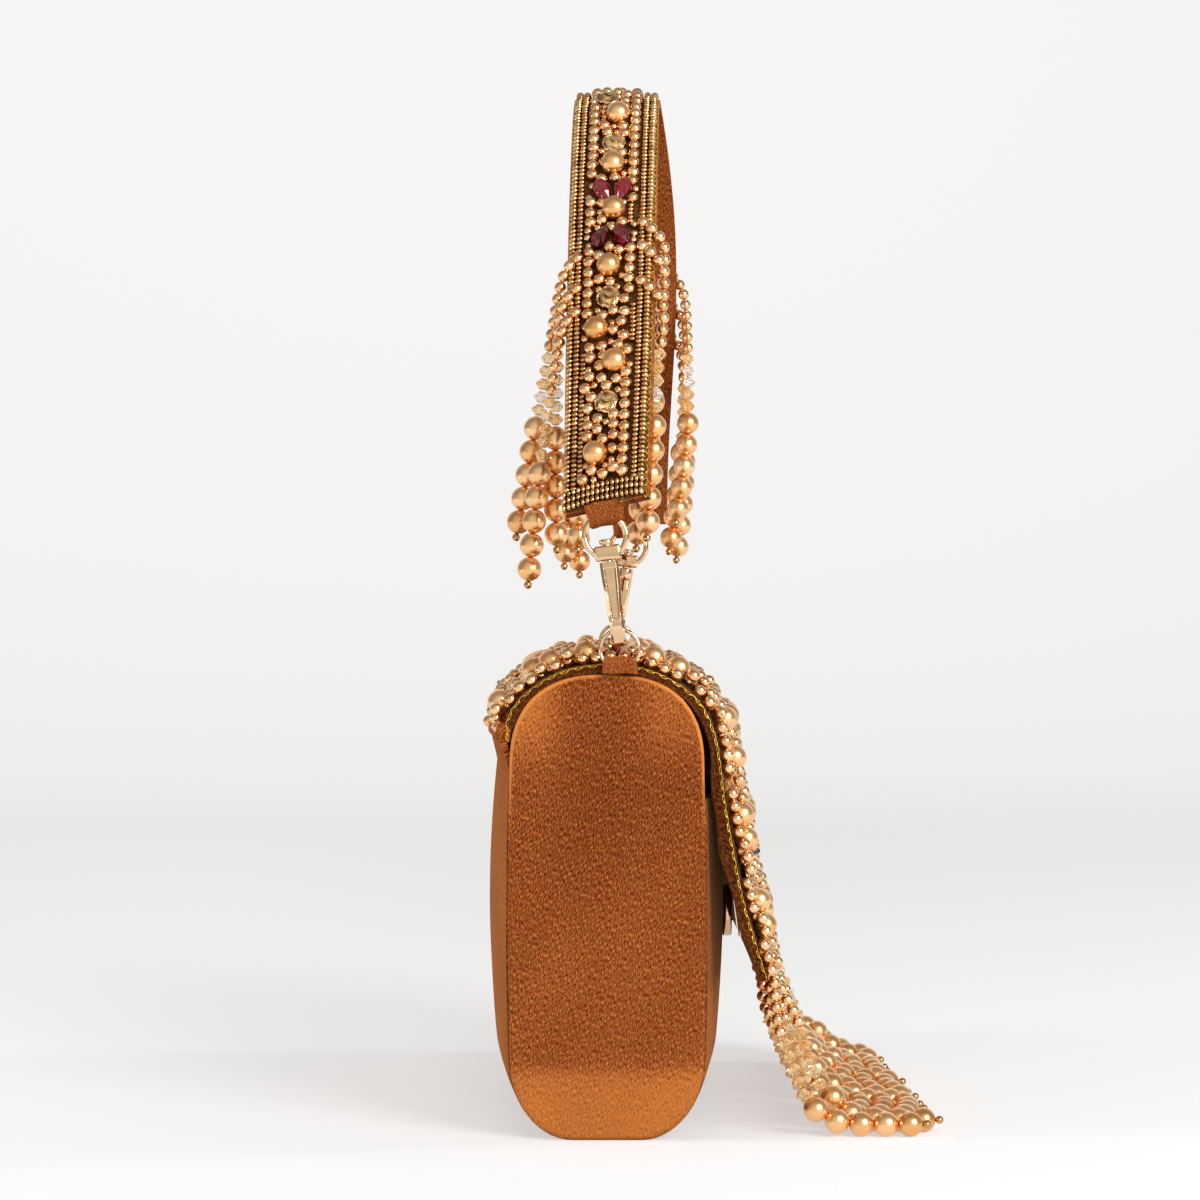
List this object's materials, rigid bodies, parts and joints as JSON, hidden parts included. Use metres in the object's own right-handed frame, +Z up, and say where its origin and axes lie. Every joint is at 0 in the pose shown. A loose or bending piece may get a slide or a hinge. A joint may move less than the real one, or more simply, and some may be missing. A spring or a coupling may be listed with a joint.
{
  "type": "fringe purse",
  "caption": "Small satin evening purse with tombstone ends, a beaded flap with a long bead fringe, and a beaded top strap held by swivel snap hooks.",
  "frame": {"origin": "centre of the flat base, on the surface that the bag stands on", "axes": "+X along the bag towards its right end, -Y towards the flap's front and the fringe, +Z up"},
  "size_m": [0.2123, 0.1489, 0.3496],
  "materials": {
    "satin": "copper satin",
    "lining": "darker copper satin",
    "beads": "satin gold pearl and rose-gold bead",
    "gold": "polished pale gold"
  },
  "bodies": {
    "root": {"body_shell": "satin", "side_panel_left": "satin", "side_panel_right": "satin", "flap": "satin", "flap_lining": "lining", "flap_bead_field": "beads", "flap_fringe": "beads", "snap_socket": "gold", "snap_plate": "gold", "strap_band": "satin", "strap_bead_field": "beads", "strap_fringe_left_back": "beads", "strap_fringe_left_front": "beads", "strap_fringe_right_front": "beads", "strap_fringe_right_back": "beads", "ring_tab_left": "satin", "bag_ring_left": "gold", "swivel_eye_left": "gold", "strap_loop_left": "satin", "ring_tab_right": "satin", "bag_ring_right": "gold", "swivel_eye_right": "gold", "strap_loop_right": "satin"},
    "hook_left": {"snap_hook_left": "gold"},
    "gate_left": {"hook_gate_left": "gold"},
    "hook_right": {"snap_hook_right": "gold"},
    "gate_right": {"hook_gate_right": "gold"}
  },
  "joints": [
    {"name": "hook_swivel_left", "type": "hinge", "parent": "root", "child": "hook_left", "pos_m": [-0.1004, -0.0041, 0.1561], "axis": [0, 0.1271, 0.9919], "range_deg": [-30, 30]},
    {"name": "gate_hinge_left", "type": "hinge", "parent": "hook_left", "child": "gate_left", "pos_m": [-0.0973, -0.00123, 0.17852], "axis": [0, 0.9919, -0.1271], "range_deg": [0, 15], "stiffness_Nm_per_rad": 0.01, "springref_deg": -11.46},
    {"name": "hook_swivel_right", "type": "hinge", "parent": "root", "child": "hook_right", "pos_m": [0.1004, -0.0041, 0.1561], "axis": [0, -0.1271, 0.9919], "range_deg": [-30, 30]},
    {"name": "gate_hinge_right", "type": "hinge", "parent": "hook_right", "child": "gate_right", "pos_m": [0.0973, -0.00697, 0.17852], "axis": [0, -0.9919, -0.1271], "range_deg": [0, 15], "stiffness_Nm_per_rad": 0.01, "springref_deg": -11.46}
  ]
}
